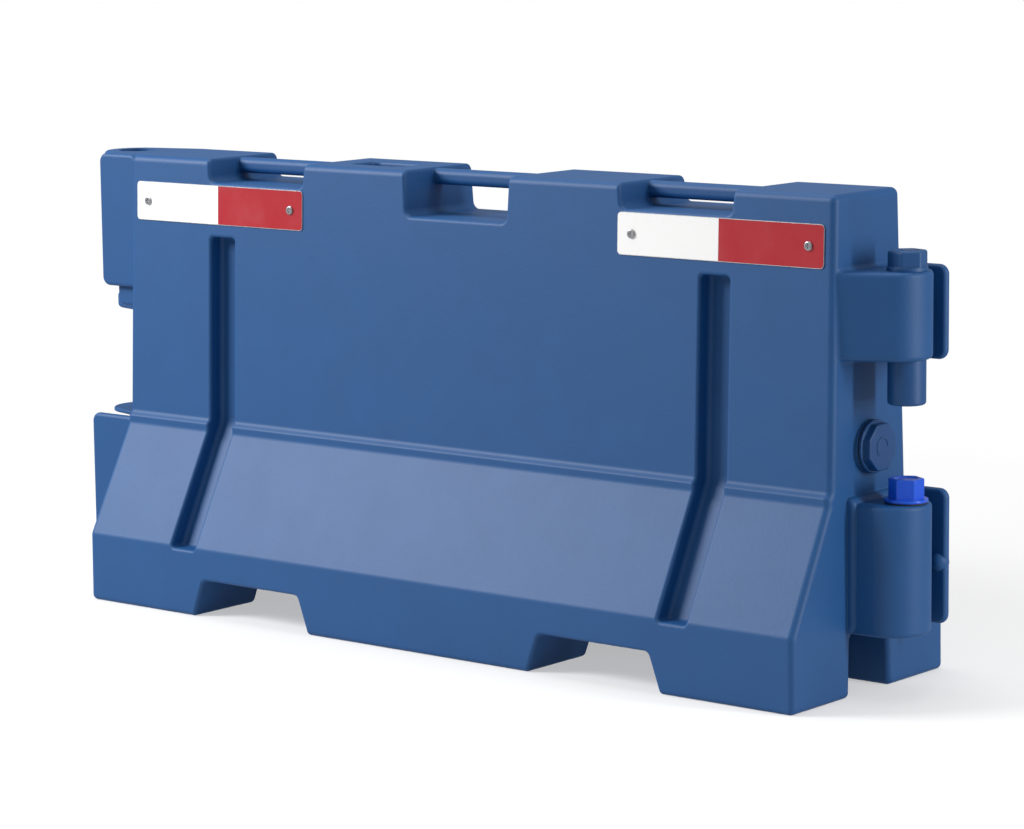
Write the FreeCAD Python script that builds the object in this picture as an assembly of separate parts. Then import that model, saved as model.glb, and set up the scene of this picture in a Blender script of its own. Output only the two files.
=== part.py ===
import FreeCAD, Part
import math
import os

# Water filled barrier: a hollow polyethylene road barrier with its plugs, its coupling pin and its
# reflector strips. Millimetres, +Z up, with +X along the body towards the end with the knuckle and the
# barrel, and -Y the front. Pieces are drawn about the middle of the body and exported about the middle
# of the overall length, coupling included, which is where the origin is, on the ground.

V = FreeCAD.Vector

# Body
HALF_LENGTH = 970.0          # at the foot
END_LEAN = 10.0              # how far each end leans in towards the top
HEIGHT = 1000.0
WALL = 5.5                   # thickness of the moulded wall
FOOT_HALF = 268.0            # half the width of the foot
FOOT_HEIGHT = 153.0          # height of the upright part of the foot
WAIST_HALF = 132.5           # half the thickness where the upright wall starts
WAIST_HEIGHT = 418.0
BAND_STEP = 9.5              # how far the band below the waist stands out
BAND_HEIGHT = 26.0
TOP_HALF = 113.0             # half the thickness at the top
EDGE_RADIUS = 15.0           # soft edges along the upright wall and the slope
END_RADIUS = 14.0            # soft edges round both ends
FOOT_RADIUS = 10.0           # soft edges of the feet
COVE_RADIUS = 12.0           # hollow curve at the waist
BAND_RADIUS = 5.0            # edge of the band under the waist
MOUTH_RADIUS = 7.0           # soft edges round each cut

# Drainage channel along the foot
CHANNEL_HALF = 70.5
CHANNEL_HEIGHT = 130.0
CHANNEL_DRAFT = 4.0
CHANNEL_RADIUS = 20.0

# Fork slots across the foot
SLOT_CENTRE = 475.0
SLOT_HALF = 170.0
SLOT_HEIGHT = 83.0
SLOT_DRAFT = 30.0
SLOT_RADIUS = 15.0

# Stiffening grooves down both long walls
GROOVE_CENTRE = 675.0
GROOVE_HALF = 36.0
GROOVE_DEPTH = 37.0
GROOVE_BELOW_TOP = 173.0
GROOVE_LOW = 147.0
GROOVE_RADIUS = 9.0
GROOVE_FLOOR_RADIUS = 10.0

# Notches in the top, each with a grab bar across it
NOTCH_SPACING = 575.0
NOTCH_HALF = 138.0
NOTCH_DRAFT = 5.0
NOTCH_DEPTH = 98.0           # middle notch
SIDE_NOTCH_DEPTH = 53.0      # the notches above the reflector strips
NOTCH_RADIUS = 17.0
BAR_SIZE = 34.0
BAR_RADIUS = 13.0
BAR_BELOW_TOP = 3.0
BAR_BITE = 4.5               # how far the bar runs into the wall at each end

# Pocket in the top for the fill cap
POCKET_HALF_X = 70.0
POCKET_HALF_Y = 42.0
POCKET_DEPTH = 46.0
POCKET_RADIUS = 16.0

# Coupling to the next barrier: everything is on one upright axis beyond each end
AXIS_REACH = 82.0            # from the end of the body to the axis
LIFT_GAP = 3.0               # clearance between stacked leaves
LEAF_HEIGHT = 147.0          # the top leaf reaches this far down from the top
KNUCKLE_HEIGHT = 174.0       # the knuckle lies under the next top leaf
KNUCKLE_WALL = 7.5           # between the pin's hole and the tip of the knuckle
KNUCKLE_INSET = 1.0          # the knuckle leaves the body this far inside its long walls
KNUCKLE_COVE = 10.0          # hollow curve where the knuckle leaves the body
LUG_EDGE = 9.0               # soft edges of knuckle, barrel and leaves
BARREL_BACK = 28.0           # the nose's axis stands this much nearer to the body than the pin's
BARREL_LOW = 130.0
BARREL_HIGH = 392.0
PAD_HALF = 81.0              # raised pad behind the barrel
PAD_OUT = 14.0
PAD_HIGH = 404.0
PAD_RADIUS = 26.0
GUARD_THICK = 18.0           # guard plates: back ones on the right end, front ones on the left end
GUARD_RADIUS = 20.0
GUARD_REACH = 102.0
GUARD_OUTSIDE = 125.0        # outer face of the upper back guard
LOW_GUARD_OUTSIDE = 131.0
GUARD_OVER = 2.0             # upper guard stands this much above the knuckle
GUARD_UNDER = 13.0           # and hangs this much below it
BUMP_RADIUS = 20.0           # round stop on the inside of the lower guard
BUMP_HEIGHT = 12.0
BUMP_LEVEL = 255.0
APRON_OUTSIDE = 113.0        # outer face of the upper front apron on the left end
APRON_REACH = 95.0
APRON_OVER = 21.0            # its lower edge stands this much above the knuckle's underside
LOW_APRON_OUTSIDE = 141.0
LOW_APRON_REACH = 112.0
LOW_APRON_HIGH = 404.0
LEAF_NOSE = 76.0
LEAF_ROOT = 108.0
EYE_WALL = 15.0              # round the pin's hole in the eye
EYE_ROOT = 84.0
WEB_OVER = 15.0              # web between the eye and the apron, above the eye's underside
WEB_REACH = 62.0
WEB_THICK = 17.0
EYE_THICK = 36.0
TONGUE_NOSE = 70.0
TONGUE_ROOT = 100.0
TONGUE_THICK = 10.0
TONGUE_EDGE = 4.0
TONGUE_GAP = 3.0             # between barrel and tongue

# Coupling pin
PIN_RADIUS = 38.0
PIN_TAIL = 89.0              # below the knuckle
PIN_TAIL_EDGE = 6.0
PIN_SHOULDER = 2.4           # the collar that rests on the knuckle stands out this much all round
PIN_COLLAR_HEIGHT = 8.0
PIN_HEAD_FLATS = 70.0
PIN_HEAD_HEIGHT = 40.0
PIN_HEAD_EDGE = 8.0
PIN_HEAD_TURN = 15.0         # degrees
PIN_HEAD_DISH = 3.0
PIN_GAP = 0.5                # radial clearance in the knuckle
EYE_GAP = 1.0                # radial clearance in the next barrier's eye
HEAD_GAP = 2.5               # radial clearance of the head in the top leaf

# Locking plug on the barrel
LOCK_FLANGE = 43.5
LOCK_FLANGE_THICK = 6.0
LOCK_FLATS = 62.0
LOCK_HEAD_HEIGHT = 40.0
LOCK_SHANK = 25.0
LOCK_LENGTH = 120.0
LOCK_PITCH = 8.0
LOCK_DISH = 3.0              # hollow in the head

# Screw plugs
THREAD_GAP = 0.5
THREAD_RIDGE = 1.2
SEAL_THICK = 3.0
SEAL_INSET = 2.0             # the seal is this much smaller than its flange
HEAD_EDGE = 4.0
BOSS_OUT = 2.0               # flat seat that stands out of the end wall
BOSS_RIM = -1.0
END_PLUG_LEVEL = 497.0
END_PLUG_FLANGE = 54.0
END_PLUG_FLANGE_THICK = 7.0
END_PLUG_FLATS = 92.0
END_PLUG_HEAD = 16.0
END_PLUG_SHANK = 39.0
END_PLUG_LENGTH = 8.0        # a short coarse thread, so it comes free clear of the locking plug
END_PLUG_PITCH = 4.5
END_PLUG_DISH = 1.0
DRAIN_LEVEL = 62.0
DRAIN_SIDE = 170.0
DRAIN_FLANGE = 30.0
DRAIN_FLANGE_THICK = 6.0
DRAIN_FLATS = 38.0
DRAIN_HEAD = 14.0
DRAIN_SHANK = 20.0
DRAIN_LENGTH = 24.0
DRAIN_PITCH = 4.0
DRAIN_DISH = 1.5
CAP_FLANGE = 36.0
CAP_FLANGE_THICK = 5.0
CAP_FLATS = 56.0
CAP_HEAD = 20.0
CAP_SHANK = 26.0
CAP_LENGTH = 26.0
CAP_PITCH = 4.0
CAP_DISH = 3.0
NECK_WALL = 7.0              # wall of the threaded necks moulded inside the body
NECK_EXTRA = 6.0             # the neck is this much longer than the shank

# Reflector strips
STRIP_END_GAP = 32.5         # from the end of the body to the strip
STRIP_LENGTH = 505.0
STRIP_HEIGHT = 87.0
STRIP_BELOW_TOP = 101.0      # from the top to the middle of the strip
STRIP_RADIUS = 9.0
PLATE_THICK = 2.0
SHEET_THICK = 0.5
SHEET_BORDER = 1.2
SHEET_SPLIT = 0.4            # gap between white and red
SCREW_INSET = 36.0           # from the end of the strip
SCREW_HEAD = 9.5
SCREW_HEAD_THICK = 4.0
SCREW_RADIUS = 3.0
SCREW_LENGTH = 20.0
SCREW_GAP = 0.3
INSERT_RADIUS = 6.5
INSERT_LENGTH = 18.0

# Derived sizes and places
HALF_LENGTH_TOP = HALF_LENGTH - END_LEAN
GROOVE_TOP = HEIGHT - GROOVE_BELOW_TOP
NOTCH_FLOOR = HEIGHT - NOTCH_DEPTH
SIDE_NOTCH_FLOOR = HEIGHT - SIDE_NOTCH_DEPTH
LEAF_LOW = HEIGHT - LEAF_HEIGHT
KNUCKLE_HIGH = LEAF_LOW - LIFT_GAP
KNUCKLE_LOW = KNUCKLE_HIGH - KNUCKLE_HEIGHT
APRON_LOW = KNUCKLE_LOW + APRON_OVER
AXIS_X = HALF_LENGTH + AXIS_REACH
BARREL_RADIUS = BARREL_BACK + PIN_RADIUS + PIN_GAP + KNUCKLE_WALL
BARREL_X = AXIS_X - BARREL_BACK
WALL_LEAN = math.atan2(WAIST_HALF - TOP_HALF, HEIGHT - WAIST_HEIGHT)
PIN_COLLAR = PIN_RADIUS + PIN_SHOULDER
HEAD_HOLE = max(PIN_HEAD_FLATS / 2.0 / math.cos(math.pi / 6.0), PIN_COLLAR) + HEAD_GAP
EYE_HOLE = PIN_RADIUS + EYE_GAP
EYE_NOSE = EYE_HOLE + EYE_WALL
STRIP_CENTRE = HALF_LENGTH - STRIP_END_GAP - STRIP_LENGTH / 2.0
STRIP_LEVEL = HEIGHT - STRIP_BELOW_TOP
POCKET_X = -NOTCH_SPACING / 2.0
POCKET_FLOOR = HEIGHT - POCKET_DEPTH
EYE_HIGH = KNUCKLE_LOW - LIFT_GAP
EYE_LOW = EYE_HIGH - EYE_THICK
WEB_LOW = EYE_LOW + WEB_OVER
TONGUE_LOW = BARREL_HIGH + TONGUE_GAP
TONGUE_HIGH = TONGUE_LOW + TONGUE_THICK
BURIED = 24.0                # how far a lug's root runs inside the body's end wall
MIDDLE_X = (BARREL_X + BARREL_RADIUS - AXIS_X - LEAF_NOSE) / 2.0


def wall_half(level):
    """Half the body's thickness at a height on the upright wall."""
    return TOP_HALF + (HEIGHT - level) * math.tan(WALL_LEAN)


def place(plane, u, v, w):
    """A point from two coordinates in a plane and one across it."""
    return {"XY": V(u, v, w), "XZ": V(u, w, v), "YZ": V(w, u, v)}[plane]


def outline(points, plane, across):
    """A closed wire through corner points (u, v, corner radius)."""
    starts, ends, middles = [], [], []
    count = len(points)
    for i, (u, v, radius) in enumerate(points):
        before, after = points[i - 1], points[(i + 1) % count]
        au, av = before[0] - u, before[1] - v
        bu, bv = after[0] - u, after[1] - v
        a, b = math.hypot(au, av), math.hypot(bu, bv)
        au, av, bu, bv = au / a, av / a, bu / b, bv / b
        half = math.acos(max(-1.0, min(1.0, au * bu + av * bv))) / 2.0
        back = radius / math.tan(half)
        su, sv = (au + bu), (av + bv)
        s = math.hypot(su, sv) or 1.0
        reach = radius / math.sin(half) - radius
        starts.append(place(plane, u + au * back, v + av * back, across))
        ends.append(place(plane, u + bu * back, v + bv * back, across))
        middles.append(place(plane, u + su / s * reach, v + sv / s * reach, across))
    edges = []
    for i in range(count):
        if points[i][2] > 0.0:
            edges.append(Part.Arc(starts[i], middles[i], ends[i]).toShape())
        edges.append(Part.LineSegment(ends[i], starts[(i + 1) % count]).toShape())
    return Part.Wire(edges)


def prism(points, plane, low, high):
    """A straight prism of an outline, from low to high across its plane."""
    face = Part.Face(outline(points, plane, low))
    return face.extrude(place(plane, 0.0, 0.0, high - low))


def shrink(points, gap):
    """An anticlockwise outline moved inwards by gap, or outwards if gap is negative."""
    lines = []
    count = len(points)
    for i in range(count):
        (u0, v0, _), (u1, v1, _) = points[i], points[(i + 1) % count]
        length = math.hypot(u1 - u0, v1 - v0)
        du, dv = (u1 - u0) / length, (v1 - v0) / length
        lines.append((u0 - dv * gap, v0 + du * gap, du, dv))
    moved = []
    for i in range(count):
        u0, v0, du0, dv0 = lines[i - 1]
        u1, v1, du1, dv1 = lines[i]
        turn = du0 * dv1 - dv0 * du1
        along = ((u1 - u0) * dv1 - (v1 - v0) * du1) / turn
        radius = points[i][2] - math.copysign(gap, turn) if points[i][2] > 0.0 else 0.0
        moved.append((u0 + du0 * along, v0 + dv0 * along, max(radius, 0.0)))
    return moved


def mirrored(half):
    """The other half of a symmetric outline, in reverse order."""
    return [(-u, v, r) for u, v, r in reversed(half)]


def rectangle(u, v, half_u, half_v, radius):
    return [(u - half_u, v - half_v, radius), (u + half_u, v - half_v, radius),
            (u + half_u, v + half_v, radius), (u - half_u, v + half_v, radius)]


def section():
    """The body's cross-section: foot, slope, band, waist and upright wall, with the channel."""
    half = [
        (CHANNEL_HALF, 0.0, FOOT_RADIUS),
        (FOOT_HALF, 0.0, FOOT_RADIUS),
        (FOOT_HALF, FOOT_HEIGHT, EDGE_RADIUS),
        (WAIST_HALF + BAND_STEP, WAIST_HEIGHT - BAND_HEIGHT, EDGE_RADIUS),
        (WAIST_HALF + BAND_STEP, WAIST_HEIGHT - BAND_STEP, BAND_RADIUS),
        (WAIST_HALF, WAIST_HEIGHT, COVE_RADIUS),
        (TOP_HALF, HEIGHT, EDGE_RADIUS),
    ]
    crown = [
        (-CHANNEL_HALF + CHANNEL_DRAFT, CHANNEL_HEIGHT, CHANNEL_RADIUS),
        (CHANNEL_HALF - CHANNEL_DRAFT, CHANNEL_HEIGHT, CHANNEL_RADIUS),
    ]
    return half + mirrored(half) + crown


def side():
    """The body seen from the front, taller than the section at both ends."""
    lean = (HALF_LENGTH - HALF_LENGTH_TOP) / HEIGHT
    over = 50.0
    half = [(HALF_LENGTH + lean * over, -over, 0.0), (HALF_LENGTH_TOP - lean * over, HEIGHT + over, 0.0)]
    return half + mirrored(half)


def rim(shape, before, tool):
    """Edges of a cut shape that lie on both the old surface and the tool's surface."""
    found = []
    old, cut = Part.Compound(before.Faces), Part.Compound(tool.Faces)
    for edge in shape.Edges:
        first, last = edge.ParameterRange
        spots = [edge.valueAt(first + (last - first) * s) for s in (0.3, 0.6)]
        on_both = all(
            cut.distToShape(Part.Vertex(p))[0] < 1e-3 and old.distToShape(Part.Vertex(p))[0] < 1e-3
            for p in spots
        )
        if on_both:
            found.append(edge)
    return found


def cut_soft(shape, tool, radius):
    """Cuts a tool out and rounds the mouth it leaves."""
    after = shape.cut(tool)
    return after.makeFillet(radius, rim(after, shape, tool))


def slot_tool(centre, gap):
    low = -2.0 * FOOT_RADIUS
    spread = SLOT_DRAFT * (SLOT_HEIGHT - low) / SLOT_HEIGHT
    points = [
        (centre - SLOT_HALF + SLOT_DRAFT - spread, low, 0.0),
        (centre + SLOT_HALF - SLOT_DRAFT + spread, low, 0.0),
        (centre + SLOT_HALF - SLOT_DRAFT, SLOT_HEIGHT, SLOT_RADIUS),
        (centre - SLOT_HALF + SLOT_DRAFT, SLOT_HEIGHT, SLOT_RADIUS),
    ]
    return prism(shrink(points, -gap), "XZ", -FOOT_HALF - 20.0, FOOT_HALF + 20.0)


def notch_tool(centre, floor, gap):
    high = HEIGHT + 30.0
    spread = NOTCH_DRAFT * (high - floor) / (HEIGHT - floor)
    points = [
        (centre - NOTCH_HALF, floor, NOTCH_RADIUS),
        (centre + NOTCH_HALF, floor, NOTCH_RADIUS),
        (centre + NOTCH_HALF + spread, high, 0.0),
        (centre - NOTCH_HALF - spread, high, 0.0),
    ]
    return prism(shrink(points, -gap), "XZ", -FOOT_HALF, FOOT_HALF)


def groove_floor(depth):
    """What a groove leaves standing: the slope and the upright wall, moved inwards by depth."""
    over = 50.0
    slope = (FOOT_HALF - WAIST_HALF) / (WAIST_HEIGHT - FOOT_HEIGHT)
    half = [
        (WAIST_HALF + slope * (WAIST_HEIGHT + over), -over, 0.0),
        (WAIST_HALF, WAIST_HEIGHT, EDGE_RADIUS),
        (wall_half(HEIGHT + over), HEIGHT + over, 0.0),
    ]
    return shrink(half + mirrored(half), depth)


def groove_tool(centre, front, gap):
    middle = (GROOVE_TOP + GROOVE_LOW) / 2.0
    points = rectangle(centre, middle, GROOVE_HALF, (GROOVE_TOP - GROOVE_LOW) / 2.0, GROOVE_RADIUS)
    reach = FOOT_HALF + 20.0
    bar = prism(shrink(points, -gap), "XZ", -reach if front else 0.0, 0.0 if front else reach)
    past = 2.0 * GROOVE_HALF
    core = prism(groove_floor(GROOVE_DEPTH + gap), "YZ", centre - past, centre + past)
    tool = bar.cut(core)
    if gap > 0.0:
        return tool
    return tool.makeFillet(GROOVE_FLOOR_RADIUS, rim(tool, bar, core))


def pocket_tool(gap):
    points = rectangle(POCKET_X, 0.0, POCKET_HALF_X, POCKET_HALF_Y, POCKET_RADIUS)
    return prism(shrink(points, -gap), "XY", POCKET_FLOOR - gap, HEIGHT + 20.0)


def cylinder(x, y, low, high, radius):
    return Part.makeCylinder(radius, high - low, V(x, y, low), V(0, 0, 1))


def lug(end, nose_x, root_half, nose_radius, low, high, edge):
    """A leaf with a round nose on an upright axis, whose sides run back to the end wall."""
    root_x = HALF_LENGTH - BURIED
    dx, dy = nose_x - root_x, root_half
    reach = math.hypot(dx, dy)
    lean = math.atan2(dy, dx) - math.asin(nose_radius / reach)
    touch_x = nose_x + nose_radius * math.sin(lean)
    touch_y = nose_radius * math.cos(lean)
    corners = [V(end * root_x, root_half, low), V(end * touch_x, touch_y, low),
               V(end * touch_x, -touch_y, low), V(end * root_x, -root_half, low)]
    nose = Part.Arc(corners[1], V(end * (nose_x + nose_radius), 0, low), corners[2]).toShape()
    edges = [
        Part.LineSegment(corners[0], corners[1]).toShape(),
        nose,
        Part.LineSegment(corners[2], corners[3]).toShape(),
        Part.LineSegment(corners[3], corners[0]).toShape(),
    ]
    solid = Part.Face(Part.Wire(edges)).extrude(V(0, 0, high - low))
    if edge <= 0.0:
        return solid
    return solid.makeFillet(edge, flat_edges(solid, (low, high), end * root_x))


def flat_edges(solid, levels, buried_x):
    """Edges in the top and bottom faces, without the one buried inside the body."""
    found = []
    for e in solid.Edges:
        box = e.BoundBox
        level = any(abs(box.ZMin - z) < 1e-6 and abs(box.ZMax - z) < 1e-6 for z in levels)
        buried = abs(box.XMin - buried_x) < 1e-6 and abs(box.XMax - buried_x) < 1e-6
        if level and not buried:
            found.append(e)
    return found


def plate(end, reach, low, high, y_low, y_high, root=BURIED):
    """An upright guard plate off an end wall, with round outer corners and soft edges."""
    inner, outer = HALF_LENGTH - root, HALF_LENGTH + reach
    middle, half = (inner + outer) / 2.0, (outer - inner) / 2.0
    points = rectangle(end * middle, (low + high) / 2.0, half, (high - low) / 2.0, GUARD_RADIUS)
    solid = prism(points, "XZ", y_low, y_high)
    edges = [e for e in solid.Edges if e.BoundBox.YLength < 1e-6]
    return solid.makeFillet(min(LUG_EDGE, (y_high - y_low) / 2.0 - 1.0), edges)


def body_block(gap):
    """The long moulding without cuts, moved inwards by gap."""
    long = prism(shrink(section(), gap), "YZ", -HALF_LENGTH - 10.0, HALF_LENGTH + 10.0)
    ends = prism(shrink(side(), gap), "XZ", -FOOT_HALF - 10.0, FOOT_HALF + 10.0)
    block = long.common(ends)
    return block.makeFillet(END_RADIUS - gap, rim(block, long, ends))


def cut_tools(gap):
    """Everything that is cut through the moulding, each tool grown by gap."""
    tools = [slot_tool(centre, gap) for centre in (-SLOT_CENTRE, SLOT_CENTRE)]
    for centre in (-GROOVE_CENTRE, GROOVE_CENTRE):
        tools += [groove_tool(centre, front, gap) for front in (True, False)]
    tools += [notch_tool(0.0, NOTCH_FLOOR, gap)]
    tools += [notch_tool(x, SIDE_NOTCH_FLOOR, gap) for x in (-NOTCH_SPACING, NOTCH_SPACING)]
    tools += [pocket_tool(gap)]
    return tools


def hollow_lugs(gap):
    """Knuckle, barrel and top leaf, moved inwards by gap."""
    edge = LUG_EDGE if gap <= 0.0 else 0.0
    knuckle = lug(1, BARREL_X, wall_half(KNUCKLE_HIGH) - KNUCKLE_INSET - gap, BARREL_RADIUS - gap,
                  KNUCKLE_LOW + gap, KNUCKLE_HIGH - gap, edge)
    barrel = lug(1, BARREL_X, BARREL_RADIUS - gap, BARREL_RADIUS - gap,
                 BARREL_LOW + gap, BARREL_HIGH - gap, edge)
    leaf = lug(-1, AXIS_X, LEAF_ROOT - gap, LEAF_NOSE - gap, LEAF_LOW + gap, HEIGHT - gap, edge)
    return [knuckle, barrel, leaf]


def solid_lugs():
    """Thin leaves, guard plates and the pad, which the moulding fills."""
    eye = lug(-1, AXIS_X, EYE_ROOT, EYE_NOSE, EYE_LOW, EYE_HIGH, LUG_EDGE)
    web = plate(-1, WEB_REACH, WEB_LOW, APRON_LOW + GUARD_RADIUS, -APRON_OUTSIDE + GUARD_THICK - 1.0,
                -APRON_OUTSIDE + GUARD_THICK - 1.0 + WEB_THICK)
    tongue = lug(-1, AXIS_X, TONGUE_ROOT, TONGUE_NOSE, TONGUE_LOW, TONGUE_HIGH, TONGUE_EDGE)
    guard = plate(1, GUARD_REACH, KNUCKLE_LOW - GUARD_UNDER, KNUCKLE_HIGH + GUARD_OVER,
                  GUARD_OUTSIDE - GUARD_THICK, GUARD_OUTSIDE)
    low_guard = plate(1, GUARD_REACH, BARREL_LOW, PAD_HIGH,
                      LOW_GUARD_OUTSIDE - GUARD_THICK, LOW_GUARD_OUTSIDE)
    pad = plate(1, PAD_OUT, BARREL_LOW, PAD_HIGH, -PAD_HALF, LOW_GUARD_OUTSIDE - LUG_EDGE,
                3.0 * BURIED)
    bump = Part.makeSphere(BUMP_RADIUS, V(AXIS_X, LOW_GUARD_OUTSIDE - GUARD_THICK
                                          + BUMP_RADIUS - BUMP_HEIGHT, BUMP_LEVEL))
    bump = bump.common(Part.makeBox(90, GUARD_THICK + BUMP_HEIGHT, 90,
                                    V(AXIS_X - 45, LOW_GUARD_OUTSIDE - GUARD_THICK - BUMP_HEIGHT,
                                      BUMP_LEVEL - 45)))
    apron = plate(-1, APRON_REACH, APRON_LOW, HEIGHT, -APRON_OUTSIDE, GUARD_THICK - APRON_OUTSIDE)
    low_apron = plate(-1, LOW_APRON_REACH, BARREL_LOW, LOW_APRON_HIGH,
                      -LOW_APRON_OUTSIDE, GUARD_THICK - LOW_APRON_OUTSIDE)
    bosses = [
        Part.makeCylinder(END_PLUG_FLANGE + BOSS_RIM, BURIED + BOSS_OUT,
                          V(HALF_LENGTH - BURIED, 0, END_PLUG_LEVEL), V(1, 0, 0)),
        Part.makeCylinder(DRAIN_FLANGE + BOSS_RIM, BURIED + BOSS_OUT,
                          V(BURIED - HALF_LENGTH, DRAIN_SIDE, DRAIN_LEVEL), V(-1, 0, 0)),
    ]
    brow = plate(-1, APRON_REACH, LEAF_LOW, HEIGHT, -APRON_OUTSIDE, -LEAF_ROOT / 2.0)
    return [eye, web, tongue, guard, low_guard, pad, bump, apron, brow, low_apron] + bosses


def grab_bars():
    bars = []
    level = HEIGHT - BAR_BELOW_TOP - BAR_SIZE / 2.0
    for centre, floor in ((0.0, NOTCH_FLOOR), (-NOTCH_SPACING, SIDE_NOTCH_FLOOR),
                          (NOTCH_SPACING, SIDE_NOTCH_FLOOR)):
        reach = NOTCH_HALF + NOTCH_DRAFT * (level - floor) / (HEIGHT - floor) + BAR_BITE
        points = rectangle(0.0, level, BAR_SIZE / 2.0, BAR_SIZE / 2.0, BAR_RADIUS)
        bars.append(prism(points, "YZ", centre - reach, centre + reach))
    return bars


def seated(shape, spot, direction):
    """Moves a shape built along +Z from the ground to a seat that faces a direction."""
    moved = shape.copy()
    moved.Placement = FreeCAD.Placement(spot, FreeCAD.Rotation(V(0, 0, 1), direction))
    return moved


# Seats of the screw plugs: face, outward direction
END_SEAT = V(HALF_LENGTH + BOSS_OUT, 0, END_PLUG_LEVEL)
DRAIN_SEAT = V(-HALF_LENGTH - BOSS_OUT, DRAIN_SIDE, DRAIN_LEVEL)
CAP_SEAT = V(POCKET_X, 0, POCKET_FLOOR)
LOCK_SEAT = V(AXIS_X, 0, BARREL_HIGH)


def necks(grow):
    """Cylinders in the threaded holes, or round them if grow is more than the thread gap."""
    extra = grow if grow > THREAD_GAP else 0.0
    made = []
    for seat, direction, shank, length in (
        (END_SEAT, V(1, 0, 0), END_PLUG_SHANK, END_PLUG_LENGTH),
        (DRAIN_SEAT, V(-1, 0, 0), DRAIN_SHANK, DRAIN_LENGTH),
        (CAP_SEAT, V(0, 0, 1), CAP_SHANK, CAP_LENGTH),
    ):
        depth = length + NECK_EXTRA
        made.append(seated(Part.makeCylinder(shank + grow, depth + 10.0, V(0, 0, -depth)), seat, direction))
    depth = LOCK_LENGTH + NECK_EXTRA + extra
    made.append(seated(Part.makeCylinder(LOCK_SHANK + grow, depth + 10.0, V(0, 0, -depth)), LOCK_SEAT,
                       V(0, 0, 1)))
    return made


def strip_place(x, back):
    """Where a reflector strip lies: on the leaning wall, facing front or back."""
    lean = FreeCAD.Rotation(V(1, 0, 0), -math.degrees(WALL_LEAN))
    spot = FreeCAD.Placement(V(x, -wall_half(STRIP_LEVEL), STRIP_LEVEL), lean)
    turn = FreeCAD.Placement(V(0, 0, 0), FreeCAD.Rotation(V(0, 0, 1), 180.0 if back else 0.0))
    return turn.multiply(spot)


STRIPS = {
    "front_left": strip_place(-STRIP_CENTRE, False),
    "front_right": strip_place(STRIP_CENTRE, False),
    "back_left": strip_place(-STRIP_CENTRE, True),
    "back_right": strip_place(STRIP_CENTRE, True),
}
SCREW_REACH = STRIP_LENGTH / 2.0 - SCREW_INSET


def at_screws(shape):
    """Copies of a shape built along -Y at every reflector screw."""
    copies = []
    for spot in STRIPS.values():
        for reach in (-SCREW_REACH, SCREW_REACH):
            copy = shape.copy()
            copy.Placement = spot.multiply(FreeCAD.Placement(V(reach, 0, 0), FreeCAD.Rotation()))
            copies.append(copy)
    return copies


def tank_shell():
    knuckle, barrel, leaf = hollow_lugs(0.0)
    block = body_block(0.0)
    outer = block.fuse(knuckle)
    outer = outer.makeFillet(KNUCKLE_COVE, rim(outer, block, knuckle))
    for tool in cut_tools(0.0):
        outer = cut_soft(outer, tool, MOUTH_RADIUS)
    outer = outer.fuse([barrel, leaf] + solid_lugs() + grab_bars())

    inner = body_block(WALL).cut(cut_tools(WALL))
    inner = inner.fuse(hollow_lugs(WALL))
    axis_holes = [
        cylinder(AXIS_X, 0, KNUCKLE_LOW - 5.0, KNUCKLE_HIGH + 5.0, PIN_RADIUS + PIN_GAP),
        cylinder(-AXIS_X, 0, LEAF_LOW - 5.0, HEIGHT + 5.0, HEAD_HOLE),
        cylinder(-AXIS_X, 0, EYE_LOW - 5.0, EYE_HIGH + 5.0, EYE_HOLE),
        cylinder(-AXIS_X, 0, TONGUE_LOW - 5.0, TONGUE_HIGH + 5.0, LOCK_SHANK + EYE_GAP),
    ]
    sleeves = [
        cylinder(AXIS_X, 0, KNUCKLE_LOW, KNUCKLE_HIGH, PIN_RADIUS + PIN_GAP + WALL / 2.0),
        cylinder(-AXIS_X, 0, LEAF_LOW, HEIGHT, HEAD_HOLE + WALL / 2.0),
    ]
    boss = Part.makeCylinder(INSERT_RADIUS + WALL, INSERT_LENGTH + WALL, V(0, 0, 0), V(0, 1, 0))
    hole = Part.makeCylinder(INSERT_RADIUS, INSERT_LENGTH + 5.0, V(0, -5.0, 0), V(0, 1, 0))
    inner = inner.cut(necks(NECK_WALL) + sleeves + at_screws(boss))
    return outer.cut([inner]).cut(necks(THREAD_GAP) + axis_holes + at_screws(hole))


def polygon_head(flats, sides, low, high, edge, turn=0.0):
    """A head with flat sides and soft edges, along +Z."""
    corner = flats / 2.0 / math.cos(math.pi / sides)
    points = []
    for i in range(sides):
        angle = math.radians(turn) + 2.0 * math.pi * (i + 0.5) / sides
        points.append((corner * math.cos(angle), corner * math.sin(angle), edge))
    solid = prism(points, "XY", low, high)
    top = [e for e in solid.Edges if abs(e.BoundBox.ZMin - high) < 1e-6]
    return solid.makeFillet(edge * 0.7, top)


def threaded_shank(radius, length, pitch, top):
    """A shank with rings for its thread, below the ground plane, along +Z."""
    turns = int((length - 4.0) / pitch)
    spots = [(0.0, -length), (radius - 3.0 * THREAD_RIDGE, -length)]
    for i in range(turns):
        low = -length + 3.0 + i * pitch
        spots += [(radius - THREAD_RIDGE, low), (radius, low + 0.3 * pitch),
                  (radius, low + 0.5 * pitch), (radius - THREAD_RIDGE, low + 0.8 * pitch)]
    spots += [(radius - THREAD_RIDGE, top), (0.0, top)]
    corners = [V(r, 0, z) for r, z in spots]
    return Part.Face(Part.makePolygon(corners + corners[:1])).revolve(V(0, 0, 0), V(0, 0, 1), 360)


def disc(radius, low, high, edge):
    solid = Part.makeCylinder(radius, high - low, V(0, 0, low))
    rims = [e for e in solid.Edges if e.BoundBox.ZLength < 1e-6]
    return solid.makeFillet(edge, rims)


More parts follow.
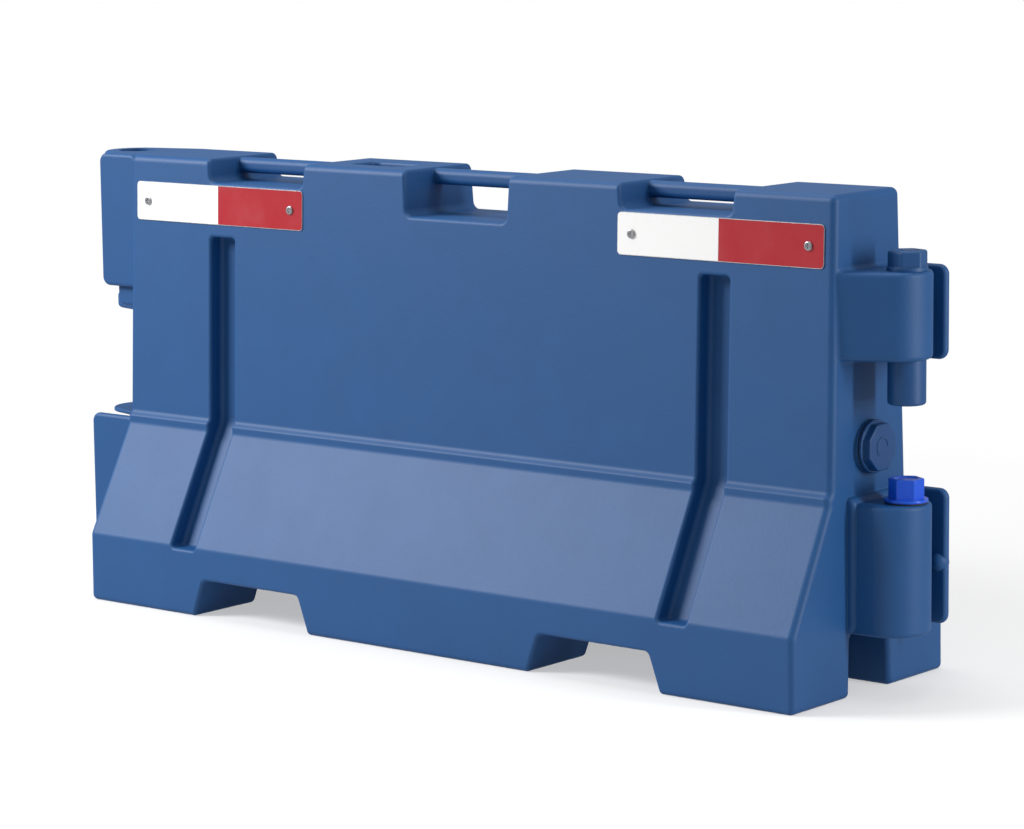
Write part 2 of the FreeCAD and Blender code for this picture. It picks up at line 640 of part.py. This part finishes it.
def screw_plug(flange, thick, flats, sides, head, shank, length, pitch, dish):
    """A plug with a threaded shank, a round flange over its seal and a head with flats."""
    high = SEAL_THICK + thick
    plug = threaded_shank(shank, length, pitch, high).fuse([
        disc(flange, SEAL_THICK, high, 0.3 * thick),
        polygon_head(flats, sides, high - 0.5, high + head, HEAD_EDGE),
    ])
    hollow = Part.makeCone(0.3 * flats, 0.4 * flats, dish, V(0, 0, high + head - dish))
    return plug.cut(hollow)


def seal(flange, shank):
    """A flat ring between a flange and its seat."""
    outer = Part.makeCylinder(flange - SEAL_INSET, SEAL_THICK)
    return outer.cut(Part.makeCylinder(shank + THREAD_GAP + 0.5, SEAL_THICK))


def coupling_pin():
    """A round pin with a six-sided head, on a collar that rests on the knuckle."""
    length = KNUCKLE_HIGH - KNUCKLE_LOW + PIN_TAIL
    shank = disc(PIN_RADIUS, -length, PIN_COLLAR_HEIGHT, PIN_TAIL_EDGE)
    collar = Part.makeCylinder(PIN_COLLAR, PIN_COLLAR_HEIGHT)
    head = polygon_head(PIN_HEAD_FLATS, 6, 0.0, PIN_HEAD_HEIGHT, PIN_HEAD_EDGE, PIN_HEAD_TURN)
    hollow = Part.makeCone(0.28 * PIN_HEAD_FLATS, 0.34 * PIN_HEAD_FLATS, PIN_HEAD_DISH,
                           V(0, 0, PIN_HEAD_HEIGHT - PIN_HEAD_DISH))
    return seated(shank.fuse([collar, head]).cut(hollow), V(AXIS_X, 0, KNUCKLE_HIGH), V(0, 0, 1))


def strip_parts():
    """Backing plate, white sheet and red sheet of one strip, facing -Y."""
    half_l, half_h = STRIP_LENGTH / 2.0, STRIP_HEIGHT / 2.0
    holes = [Part.makeCylinder(SCREW_RADIUS + SCREW_GAP, 20.0, V(x, -10.0, 0), V(0, 1, 0))
             for x in (-SCREW_REACH, SCREW_REACH)]
    backing = prism(rectangle(0.0, 0.0, half_l, half_h, STRIP_RADIUS), "XZ", -PLATE_THICK, 0.0)
    inner_l, inner_h = half_l - SHEET_BORDER, half_h - SHEET_BORDER
    radius = STRIP_RADIUS - SHEET_BORDER
    front = -PLATE_THICK - SHEET_THICK
    split = SHEET_SPLIT / 2.0
    white = prism([(-inner_l, -inner_h, radius), (-split, -inner_h, 0.0), (-split, inner_h, 0.0),
                   (-inner_l, inner_h, radius)], "XZ", front, -PLATE_THICK)
    red = prism([(split, -inner_h, 0.0), (inner_l, -inner_h, radius), (inner_l, inner_h, radius),
                 (split, inner_h, 0.0)], "XZ", front, -PLATE_THICK)
    return {"plate": backing.cut(holes), "white": white.cut(holes), "red": red.cut(holes)}


def screw():
    """A domed screw with a cross recess, driven along +Y."""
    under = -PLATE_THICK - SHEET_THICK
    top = under - SCREW_HEAD_THICK
    head = Part.makeCylinder(SCREW_HEAD, SCREW_HEAD_THICK, V(0, top, 0), V(0, 1, 0))
    head = head.makeFillet(0.6 * SCREW_HEAD_THICK,
                           [e for e in head.Edges if abs(e.BoundBox.YMax - top) < 1e-6])
    shank = Part.makeCylinder(SCREW_RADIUS, SCREW_LENGTH + 1.0, V(0, under - 1.0, 0), V(0, 1, 0))
    deep, wide, long = 0.5 * SCREW_HEAD_THICK, 0.2 * SCREW_HEAD, 1.1 * SCREW_HEAD
    cross = [Part.makeBox(long, 2.0 * deep, wide, V(-long / 2.0, top - deep, -wide / 2.0)),
             Part.makeBox(wide, 2.0 * deep, long, V(-wide / 2.0, top - deep, -long / 2.0))]
    return head.fuse(shank).cut(cross)


def insert():
    """A brass bush moulded into the wall behind each screw."""
    bush = Part.makeCylinder(INSERT_RADIUS, INSERT_LENGTH, V(0, 0, 0), V(0, 1, 0))
    return bush.cut(Part.makeCylinder(SCREW_RADIUS + 0.1, INSERT_LENGTH, V(0, 0, 0), V(0, 1, 0)))


def export(name, shape):
    shape = shape.copy()
    shape.translate(V(-MIDDLE_X, 0, 0))
    shape.exportStep(os.path.join("parts", name + ".step"))
    box = shape.BoundBox
    print(name, shape.ShapeType, len(shape.Solids), "valid", shape.isValid(), "litres",
          round(shape.Volume / 1e6, 3), [round(v, 1) for v in (box.XMin, box.YMin, box.ZMin)],
          [round(v, 1) for v in (box.XMax, box.YMax, box.ZMax)])


def main():
    os.makedirs("parts", exist_ok=True)
    export("tank_shell", tank_shell())
    closures = {
        "end_plug": (END_SEAT, V(1, 0, 0), END_PLUG_FLANGE, END_PLUG_FLANGE_THICK, END_PLUG_FLATS, 8,
                     END_PLUG_HEAD, END_PLUG_SHANK, END_PLUG_LENGTH, END_PLUG_PITCH, END_PLUG_DISH),
        "drain_plug": (DRAIN_SEAT, V(-1, 0, 0), DRAIN_FLANGE, DRAIN_FLANGE_THICK, DRAIN_FLATS, 6,
                       DRAIN_HEAD, DRAIN_SHANK, DRAIN_LENGTH, DRAIN_PITCH, DRAIN_DISH),
        "fill_cap": (CAP_SEAT, V(0, 0, 1), CAP_FLANGE, CAP_FLANGE_THICK, CAP_FLATS, 8,
                     CAP_HEAD, CAP_SHANK, CAP_LENGTH, CAP_PITCH, CAP_DISH),
        "locking_plug": (LOCK_SEAT, V(0, 0, 1), LOCK_FLANGE, LOCK_FLANGE_THICK, LOCK_FLATS, 6,
                         LOCK_HEAD_HEIGHT, LOCK_SHANK, LOCK_LENGTH, LOCK_PITCH, LOCK_DISH),
    }
    for name, values in closures.items():
        seat, direction, flange, thick, flats, sides, head, shank, length, pitch, dish = values
        plug = screw_plug(flange, thick, flats, sides, head, shank, length, pitch, dish)
        export(name, seated(plug, seat, direction))
        export(name + "_seal", seated(seal(flange, shank), seat, direction))
    export("coupling_pin", coupling_pin())
    for place_name, spot in STRIPS.items():
        for kind, shape in strip_parts().items():
            shape.Placement = spot
            export("reflector_" + kind + "_" + place_name, shape)
    export("reflector_screws", Part.Compound(at_screws(screw())))
    export("reflector_inserts", Part.Compound(at_screws(insert())))


main()
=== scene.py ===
# %% [markdown]
# # Water filled barrier
# A road barrier is one hollow moulding of polyethylene, a little under two metres between its ends.
# It is light enough to carry while it is empty, and it stands like a wall once it is filled with
# water. Around the moulding sit a few real pieces: screw plugs with rubber seals, a coupling pin,
# and reflector strips that are screwed into brass bushes. The CAD model holds all their shapes,
# so this script gives them their finishes, adds the small details, and lights them in a studio.

import math

import bpy
from mathutils import Matrix, Vector


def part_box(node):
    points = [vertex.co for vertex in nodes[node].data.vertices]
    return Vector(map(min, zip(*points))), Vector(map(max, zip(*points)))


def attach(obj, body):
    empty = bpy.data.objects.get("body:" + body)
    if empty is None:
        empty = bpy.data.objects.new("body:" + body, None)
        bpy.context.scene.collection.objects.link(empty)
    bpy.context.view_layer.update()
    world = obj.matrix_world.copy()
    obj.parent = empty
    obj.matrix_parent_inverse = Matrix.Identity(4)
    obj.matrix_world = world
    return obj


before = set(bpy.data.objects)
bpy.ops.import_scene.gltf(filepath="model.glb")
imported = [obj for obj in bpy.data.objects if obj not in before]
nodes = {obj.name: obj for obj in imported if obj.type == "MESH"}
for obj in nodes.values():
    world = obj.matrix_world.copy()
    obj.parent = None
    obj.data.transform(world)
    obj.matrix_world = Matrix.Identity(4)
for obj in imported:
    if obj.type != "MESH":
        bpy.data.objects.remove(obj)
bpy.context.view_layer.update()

# %% [markdown]
# ## The camera
# A long lens from a little above the top of the barrier keeps its long lines almost parallel.
# Such a camera could be aimed with a constraint, but a small tilt of the horizon is part of the
# view, so its three axes are worked out from heading, pitch and roll and written into its matrix.

# %% Camera
CAMERA_PLACE = Vector((4.889, -5.871, 1.627))
HEADING = math.radians(39.385)
PITCH = math.radians(8.589)
ROLL = math.radians(-0.642)
LENS_MM = 126.7
SENSOR_MM = 36.0
FAR_CLIP = 400.0                    # metres, well past the far edge of the floor
BARRIER_MIDDLE = (0.0, 0.0, 0.5)

forward = Vector((
    -math.sin(HEADING) * math.cos(PITCH),
    math.cos(HEADING) * math.cos(PITCH),
    -math.sin(PITCH),
))
level = Vector((math.cos(HEADING), math.sin(HEADING), 0.0))
upright = level.cross(forward)
right = level * math.cos(ROLL) + upright * math.sin(ROLL)
up = upright * math.cos(ROLL) - level * math.sin(ROLL)

lens = bpy.data.cameras.new("camera")
lens.lens = LENS_MM
lens.sensor_width = SENSOR_MM
lens.clip_end = FAR_CLIP
camera = bpy.data.objects.new("camera", lens)
camera.matrix_world = Matrix((
    (right.x, up.x, -forward.x, CAMERA_PLACE.x),
    (right.y, up.y, -forward.y, CAMERA_PLACE.y),
    (right.z, up.z, -forward.z, CAMERA_PLACE.z),
    (0.0, 0.0, 0.0, 1.0),
))
bpy.context.scene.collection.objects.link(camera)
bpy.context.scene.camera = camera
print("camera", round((CAMERA_PLACE - Vector(BARRIER_MIDDLE)).length, 2), "m from the middle of the barrier")

# %% [markdown]
# ## Colour and node helpers
# A maker's colours come as sRGB hex values, and shaders want linear light, so one function turns
# one into the other. A second one adds any node with its settings and links. Short helpers like
# these keep a node tree readable, because each line then says one thing about the surface.

# %% Helpers for colours and nodes
def linear(hex_value):
    """A shader colour from an sRGB hex value."""
    parts = [int(hex_value[i:i + 2], 16) / 255.0 for i in (1, 3, 5)]
    curve = [c / 12.92 if c <= 0.04045 else ((c + 0.055) / 1.055) ** 2.4 for c in parts]
    return (*curve, 1.0)


def add(tree, kind, links=None, values=None, **properties):
    """A new node with its properties, the values of its inputs, and links from other sockets."""
    node = tree.nodes.new("ShaderNode" + kind)
    for key, value in properties.items():
        setattr(node, key, value)
    for key, value in (values or {}).items():
        node.inputs[key].default_value = value
    for key, socket in (links or {}).items():
        tree.links.new(socket, node.inputs[key])
    return node


def surface(name, values):
    """A material with one Principled shader, and the object coordinates that its patterns use."""
    material = bpy.data.materials.new(name)
    material.use_nodes = True
    tree = material.node_tree
    tree.nodes.clear()
    shader = add(tree, "BsdfPrincipled", values=values)
    add(tree, "OutputMaterial", {"Surface": shader.outputs["BSDF"]})
    spots = add(tree, "TexCoord").outputs["Object"]
    return material, tree, shader, spots


def per_metre(millimetres):
    """The scale of a noise whose spots are about that far apart."""
    return 1000.0 / millimetres


def share(tree, socket, low, high, out_low, out_high):
    """A value moved from one range to another and kept inside it."""
    values = {"From Min": low, "From Max": high, "To Min": out_low, "To Max": out_high}
    return add(tree, "MapRange", {"Value": socket}, values).outputs["Result"]


def blend_colours(tree, factor, first, second):
    """Two colours mixed by a factor. Each is a hex value or a socket."""
    node = add(tree, "Mix", {"Factor": factor}, data_type="RGBA")
    for key, colour in (("A", first), ("B", second)):
        socket = [i for i in node.inputs if i.name == key and i.type == "RGBA"][0]
        if isinstance(colour, str):
            socket.default_value = linear(colour)
        else:
            tree.links.new(colour, socket)
    return [o for o in node.outputs if o.type == "RGBA"][0]


print("white is", [round(c, 3) for c in linear("#FFFFFF")])

# %% [markdown]
# ## Rotationally moulded polyethylene
# Powder of polyethylene melts against the inside of a turning, heated mould. The outside copies
# the sanded mould, so it is satin, with a faint orange peel of a few millimetres, and the pigment
# in the powder leaves a soft mottle. Edges that are handled turn slightly paler and smoother, and
# the paler edges also stand in as a painted highlight along the rounded edges. One texture could
# fake this, but a stack of noises at real sizes holds up from any distance. The paler edges compare
# the true normal with one that is rounded over a few millimetres.

# %% Polyethylene
POLYETHYLENE_IOR = 1.51
ORANGE_PEEL_MM = 6.0
GRAIN_MM = 1.1          # real grain is nearer 0.3 mm, drawn coarser so that it shows
MOTTLE_MM = 110.0
PIGMENT_MM = 2.4
# The paler edges are partly wear and partly a painted highlight on the rounded edges.
WORN_AND_HIGHLIGHT_EDGE_MM = 6.0
SOFT_JOINT_MM = 3.0
PEEL_DEPTH = 0.0006                 # metres
GRAIN_DEPTH = 0.0001


def moulded_plastic(name, body, pale, dark, roughness, ior=POLYETHYLENE_IOR, wear_and_highlight=0.45, relief=0.3):
    """Satin moulded plastic with mottle, pigment specks, orange peel, grain, and paler edges that are partly
    wear and partly a painted highlight.
    """
    material, tree, shader, spots = surface(name, {"IOR": ior})
    clouds = add(tree, "TexNoise", {"Vector": spots},
                 {"Scale": per_metre(MOTTLE_MM), "Detail": 4.0, "Roughness": 0.6})
    specks = add(tree, "TexNoise", {"Vector": spots}, {"Scale": per_metre(PIGMENT_MM), "Detail": 2.0})
    peel = add(tree, "TexNoise", {"Vector": spots}, {"Scale": per_metre(ORANGE_PEEL_MM), "Detail": 1.0})
    grain = add(tree, "TexNoise", {"Vector": spots}, {"Scale": per_metre(GRAIN_MM), "Detail": 2.0})

    mottled = blend_colours(tree, share(tree, clouds.outputs["Fac"], 0.35, 0.70, 0.0, 0.35), body, dark)
    specked = blend_colours(tree, share(tree, specks.outputs["Fac"], 0.60, 0.80, 0.0, 0.16), mottled, pale)

    # Paler edges: partly wear from handling, partly a painted highlight along the rounded edges.
    rounded = add(tree, "Bevel", values={"Radius": WORN_AND_HIGHLIGHT_EDGE_MM / 1000.0}, samples=4)
    facing = add(tree, "NewGeometry").outputs["Normal"]
    likeness = add(tree, "VectorMath", {0: rounded.outputs["Normal"], 1: facing}, operation="DOT_PRODUCT")
    edge = share(tree, likeness.outputs["Value"], 0.99, 0.80, 0.0, wear_and_highlight)
    patchy_wear_and_highlight = add(tree, "Math", {0: edge, 1: clouds.outputs["Fac"]}, operation="MULTIPLY")
    tree.links.new(blend_colours(tree, patchy_wear_and_highlight.outputs["Value"], specked, pale), shader.inputs["Base Color"])

    tone = share(tree, clouds.outputs["Fac"], 0.30, 0.70, roughness - 0.004, roughness + 0.005)
    fine = share(tree, grain.outputs["Fac"], 0.30, 0.70, -0.03, 0.03)
    total = add(tree, "Math", {0: tone, 1: fine}, operation="ADD")
    tree.links.new(total.outputs["Value"], shader.inputs["Roughness"])

    soft = add(tree, "Bevel", values={"Radius": SOFT_JOINT_MM / 1000.0}, samples=4)
    low = add(tree, "Bump", {"Height": peel.outputs["Fac"], "Normal": soft.outputs["Normal"]},
              {"Strength": relief, "Distance": PEEL_DEPTH})
    fine_bump = add(tree, "Bump", {"Height": grain.outputs["Fac"], "Normal": low.outputs["Normal"]},
                    {"Strength": relief, "Distance": GRAIN_DEPTH})
    tree.links.new(fine_bump.outputs["Normal"], shader.inputs["Normal"])
    return material


shell_plastic = moulded_plastic("moulded_polyethylene_blue", "#0A4C85", "#4477A6", "#094478", 0.56)
pin_plastic = moulded_plastic("moulded_polyethylene_pin", "#094880", "#4477A6", "#083F73", 0.48)
plug_plastic = moulded_plastic("moulded_polypropylene_plug", "#0A4379", "#3E70A0", "#083666", 0.46, wear_and_highlight=0.3)
cap_plastic = moulded_plastic("moulded_polypropylene_cap", "#3B77BE", "#86AAD6", "#2F68AC", 0.36, wear_and_highlight=0.3)
lock_plastic = moulded_plastic("moulded_polypropylene_bright", "#0D53D6", "#5286E4", "#0A48C0", 0.27,
                               wear_and_highlight=0.5, relief=0.15)
print("plastics:", [m.name for m in bpy.data.materials if m.name.startswith("moulded")])

# %% [markdown]
# ## Seals of EPDM rubber
# A flat ring is cut from a calendered rubber sheet. It is nearly black, matt, and carries a thin
# bloom of talc that shows as grey patches. A plain dark colour would look like a hole, so the
# bloom and a fine fabric-like grain are what make it read as rubber.

# %% Rubber
RUBBER_GRAIN_MM = 0.8
BLOOM_MM = 14.0


def sheet_rubber(name):
    """Matt black rubber with talc bloom and a fine grain."""
    material, tree, shader, spots = surface(name, {"IOR": 1.52})
    bloom = add(tree, "TexNoise", {"Vector": spots}, {"Scale": per_metre(BLOOM_MM), "Detail": 5.0})
    grain = add(tree, "TexNoise", {"Vector": spots}, {"Scale": per_metre(RUBBER_GRAIN_MM)})
    talc = share(tree, bloom.outputs["Fac"], 0.45, 0.75, 0.0, 0.35)
    colour = blend_colours(tree, talc, "#15161A", "#3A3C42")
    tree.links.new(colour, shader.inputs["Base Color"])
    tree.links.new(share(tree, bloom.outputs["Fac"], 0.3, 0.7, 0.62, 0.78), shader.inputs["Roughness"])
    bump = add(tree, "Bump", {"Height": grain.outputs["Fac"]}, {"Strength": 0.4, "Distance": 0.0001})
    tree.links.new(bump.outputs["Normal"], shader.inputs["Normal"])
    return material


rubber = sheet_rubber("sheet_rubber_epdm")
print("made", rubber.name)

# %% [markdown]
# ## Retroreflective sheet
# Reflective sheet is a clear acrylic film over tiny prisms, sealed in a honeycomb of cells. By day
# it is a strong flat colour under a glossy film, and the seal lines show as a faint net. The cells
# are drawn with a Voronoi pattern at their real pitch, and a coat layer gives the film its gloss.

# %% Reflective sheet
CELL_MM = 4.0
DUST_MM = 70.0
ACRYLIC_IOR = 1.49


def reflective_sheet(name, colour, seal_colour):
    """A glossy film over a net of small sealed cells."""
    film = {"IOR": ACRYLIC_IOR, "Coat Weight": 0.7, "Coat Roughness": 0.06}
    material, tree, shader, spots = surface(name, film)
    cells = add(tree, "TexVoronoi", {"Vector": spots}, {"Scale": per_metre(CELL_MM), "Randomness": 0.25},
                feature="DISTANCE_TO_EDGE")
    seals = share(tree, cells.outputs["Distance"], 0.02, 0.10, 1.0, 0.0)
    dust = add(tree, "TexNoise", {"Vector": spots}, {"Scale": per_metre(DUST_MM), "Detail": 5.0})
    netted = blend_colours(tree, share(tree, seals, 0.0, 1.0, 0.0, 0.16), colour, seal_colour)
    dusty = blend_colours(tree, share(tree, dust.outputs["Fac"], 0.55, 0.85, 0.0, 0.04), netted, "#B9B4AE")
    tree.links.new(dusty, shader.inputs["Base Color"])
    tree.links.new(share(tree, dust.outputs["Fac"], 0.3, 0.7, 0.24, 0.36), shader.inputs["Roughness"])
    bump = add(tree, "Bump", {"Height": seals}, {"Strength": 0.12, "Distance": 0.0002})
    tree.links.new(bump.outputs["Normal"], shader.inputs["Normal"])
    return material


white_sheet = reflective_sheet("reflective_sheet_white", "#FCFCFB", "#DEDFE1")
red_sheet = reflective_sheet("reflective_sheet_red", "#B01A28", "#80111C")
print("cells are", CELL_MM, "mm apart")

# %% [markdown]
# ## Metals
# The backing plate is rolled aluminium, so its grain runs along the strip. The screws are stainless
# steel, headed and tumbled, which leaves them bright with soft dents. The bushes are turned brass.
# All three are the same kind of surface, a metal whose roughness and relief follow a stretched
# noise, so one function makes them and only its stretch, colour and roughness differ.

# %% Metals
STAIN_MM = 9.0


def worked_metal(name, colour, tarnish, roughness, stretch, pitch):
    """Metal with tool marks of a given pitch in millimetres, drawn out along the stretched axes."""
    material, tree, shader, spots = surface(name, {"Metallic": 1.0})
    drawn = add(tree, "Mapping", {"Vector": spots}, {"Scale": stretch})
    marks = add(tree, "TexNoise", {"Vector": drawn.outputs["Vector"]},
                {"Scale": per_metre(pitch), "Detail": 3.0})
    stain = add(tree, "TexNoise", {"Vector": spots}, {"Scale": per_metre(STAIN_MM), "Detail": 4.0})
    toned = blend_colours(tree, share(tree, stain.outputs["Fac"], 0.45, 0.75, 0.0, 0.5), colour, tarnish)
    tree.links.new(toned, shader.inputs["Base Color"])
    tree.links.new(share(tree, marks.outputs["Fac"], 0.3, 0.7, roughness - 0.06, roughness + 0.10),
                   shader.inputs["Roughness"])
    bump = add(tree, "Bump", {"Height": marks.outputs["Fac"]}, {"Strength": 0.25, "Distance": 0.0001})
    tree.links.new(bump.outputs["Normal"], shader.inputs["Normal"])
    return material


aluminium = worked_metal("rolled_aluminium", "#D9DBDE", "#A9ADB4", 0.38, (0.05, 1.0, 1.0), 0.9)
stainless = worked_metal("headed_stainless_steel", "#B9BABD", "#84868C", 0.30, (1.0, 1.0, 1.0), 1.6)
brass = worked_metal("turned_brass", "#C9A35A", "#8A6C36", 0.28, (1.0, 1.0, 1.0), 0.7)
print("metals:", aluminium.name, stainless.name, brass.name)

# %% [markdown]
# ## Finishes on the CAD parts
# Every CAD node keeps its shape and only gets a finish. Its name says what it is, so the finish is
# chosen by the start of the name, and a node that no rule knows would stop the script.

# %% Assign the finishes
FINISHES = (
    ("tank_shell", shell_plastic),
    ("coupling_pin", pin_plastic),
    ("locking_plug_seal", rubber),
    ("end_plug_seal", rubber),
    ("drain_plug_seal", rubber),
    ("fill_cap_seal", rubber),
    ("locking_plug", lock_plastic),
    ("end_plug", plug_plastic),
    ("drain_plug", plug_plastic),
    ("fill_cap", cap_plastic),
    ("reflector_plate", aluminium),
    ("reflector_white", white_sheet),
    ("reflector_red", red_sheet),
    ("reflector_screws", stainless),
    ("reflector_inserts", brass),
)
for name, node in nodes.items():
    finish = next(material for start, material in FINISHES if name.startswith(start))
    for slot in node.material_slots:
        slot.material = finish
    print(name, "->", finish.name)

# %% [markdown]
# ## Turning marks on the plugs
# A plug that is screwed in has a raised mark on its head that shows which way to turn it. A curved
# arrow is enough, and it needs no words. A curve with a bevel could draw it, but a flat band with
# its own thickness is closer to a moulded mark, so it is built from two arcs and a pointed end.

# %% Raised arrows
MARK_HEIGHT = 0.0012
MARK_STEPS = 24
MARK_SWEEP = math.radians(210.0)
MARK_TIP = math.radians(30.0)
BARB_REACH = 1.3                    # how far the arrowhead spreads, in band widths
MARK_SOFTNESS = 0.35                # how much of the height its edges are rounded by


def turning_mark(name, radius, width, seat, outward, side, body, finish):
    """A raised curved arrow on a plug's head. seat is its middle, outward and side are directions."""
    across = outward.cross(side)
    outline = []
    for i in range(MARK_STEPS + 1):
        outline.append((radius + width / 2.0, MARK_SWEEP * i / MARK_STEPS))
    outline.append((radius + width * BARB_REACH, MARK_SWEEP))
    outline.append((radius, MARK_SWEEP + MARK_TIP))
    outline.append((radius - width * BARB_REACH, MARK_SWEEP))
    for i in range(MARK_STEPS, -1, -1):
        outline.append((radius - width / 2.0, MARK_SWEEP * i / MARK_STEPS))
    flat = [seat + side * (r * math.cos(a)) + across * (r * math.sin(a)) for r, a in outline]
    count = len(flat)
    corners = [p[:] for p in flat] + [(p + outward * MARK_HEIGHT)[:] for p in flat]
    faces = [tuple(reversed(range(count))), tuple(range(count, 2 * count))]
    faces += [(i, (i + 1) % count, count + (i + 1) % count, count + i) for i in range(count)]
    mesh = bpy.data.meshes.new(name)
    mesh.from_pydata(corners, [], faces)
    mesh.materials.append(finish)
    mark = bpy.data.objects.new(name, mesh)
    bpy.context.scene.collection.objects.link(mark)
    edge = mark.modifiers.new("soft_edge", "BEVEL")
    edge.width = MARK_HEIGHT * MARK_SOFTNESS
    edge.segments = 2
    edge.limit_method = "ANGLE"
    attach(mark, body)
    print(name, "sweeps", round(math.degrees(MARK_SWEEP)), "degrees at", round(radius * 1000), "mm")


END_DISH = 0.001                    # how deep each head is dished, in metres
CAP_DISH = 0.003
low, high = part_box("end_plug")
end_middle = Vector((high[0] - END_DISH, (low[1] + high[1]) / 2.0, (low[2] + high[2]) / 2.0))
turning_mark("end_plug_mark", 0.0185, 0.0045, end_middle, Vector((1, 0, 0)), Vector((0, 1, 0)),
             "end_plug", plug_plastic)
low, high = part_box("fill_cap")
cap_middle = Vector(((low[0] + high[0]) / 2.0, (low[1] + high[1]) / 2.0, high[2] - CAP_DISH))
turning_mark("fill_cap_mark", 0.011, 0.003, cap_middle, Vector((0, 0, 1)), Vector((1, 0, 0)),
             "fill_cap", cap_plastic)

# %% [markdown]
# ## Studio
# The barrier stands on a pale floor that fades away, so that no horizon shows behind it. A far
# backdrop could do the same, but a floor that turns clear with distance from the object looks
# alike from every side. A key light high at the front left shapes the slope and leaves the end on
# the right in shade, and a tall, narrow light beyond that end lifts its round noses a little. The
# sky is white to the eye but lights the object only a little, so the recesses stay deep.

# %% Floor, lights and sky
FLOOR_HALF = 12.0
FLOOR_HEX = "#FAFAFA"
FADE_START, FADE_END = 1.2, 2.8     # metres from the middle of the barrier
FADE_NEAR = 0.45                    # how clear the floor already is under the barrier
DRIFT_SCALE = 0.7                   # tones that change over about a metre and a half

floor_mesh = bpy.data.meshes.new("floor")
corners = [(-FLOOR_HALF, -FLOOR_HALF, 0), (FLOOR_HALF, -FLOOR_HALF, 0), (FLOOR_HALF, FLOOR_HALF, 0),
           (-FLOOR_HALF, FLOOR_HALF, 0)]
floor_mesh.from_pydata(corners, [], [(0, 1, 2, 3)])
floor = bpy.data.objects.new("floor", floor_mesh)
bpy.context.scene.collection.objects.link(floor)
floor_paint, floor_tree, floor_shader, floor_spots = surface("studio_floor", {"Roughness": 0.9})
drift = add(floor_tree, "TexNoise", {"Vector": floor_spots}, {"Scale": DRIFT_SCALE})
floor_tree.links.new(blend_colours(floor_tree, share(floor_tree, drift.outputs["Fac"], 0.3, 0.7, 0.0, 0.3),
                                   FLOOR_HEX, "#F6F6F7"), floor_shader.inputs["Base Color"])
away = add(floor_tree, "VectorMath", {0: floor_spots}, operation="LENGTH")
fade = share(floor_tree, away.outputs["Value"], FADE_START, FADE_END, FADE_NEAR, 1.0)
clear = add(floor_tree, "BsdfTransparent")
faded = add(floor_tree, "MixShader", {0: fade, 1: floor_shader.outputs["BSDF"], 2: clear.outputs["BSDF"]})
floor_output = next(node for node in floor_tree.nodes if node.type == "OUTPUT_MATERIAL")
floor_tree.links.new(faded.outputs["Shader"], floor_output.inputs["Surface"])
floor_mesh.materials.append(floor_paint)


def softbox(name, place, aim, width, height, watts):
    """A soft rectangular light that faces a point."""
    light = bpy.data.lights.new(name, "AREA")
    light.shape = "RECTANGLE"
    light.size = width
    light.size_y = height
    light.energy = watts
    box = bpy.data.objects.new(name, light)
    box.location = place
    box.rotation_euler = (Vector(aim) - Vector(place)).to_track_quat("-Z", "Y").to_euler()
    bpy.context.scene.collection.objects.link(box)


END_MIDDLE = (1.0, 0.0, 0.5)
softbox("key_light", (-3.9, -3.5, 3.6), BARRIER_MIDDLE, 2.2, 2.2, 375.0)
softbox("end_light", (4.2, 0.6, 1.4), END_MIDDLE, 0.35, 2.6, 80.0)
softbox("top_light", (0.0, 0.4, 4.2), BARRIER_MIDDLE, 4.0, 2.0, 60.0)

SKY_SEEN = 1.0
SKY_LIGHT = 0.38
sky = bpy.data.worlds.new("sky")
sky.use_nodes = True
sky_tree = sky.node_tree
sky_back = sky_tree.nodes["Background"]
sky_back.inputs["Color"].default_value = (1.0, 1.0, 1.0, 1.0)
seen = add(sky_tree, "LightPath").outputs["Is Camera Ray"]
sky_tree.links.new(share(sky_tree, seen, 0.0, 1.0, SKY_LIGHT, SKY_SEEN), sky_back.inputs["Strength"])
bpy.context.scene.world = sky
bpy.context.scene.view_settings.view_transform = "Standard"
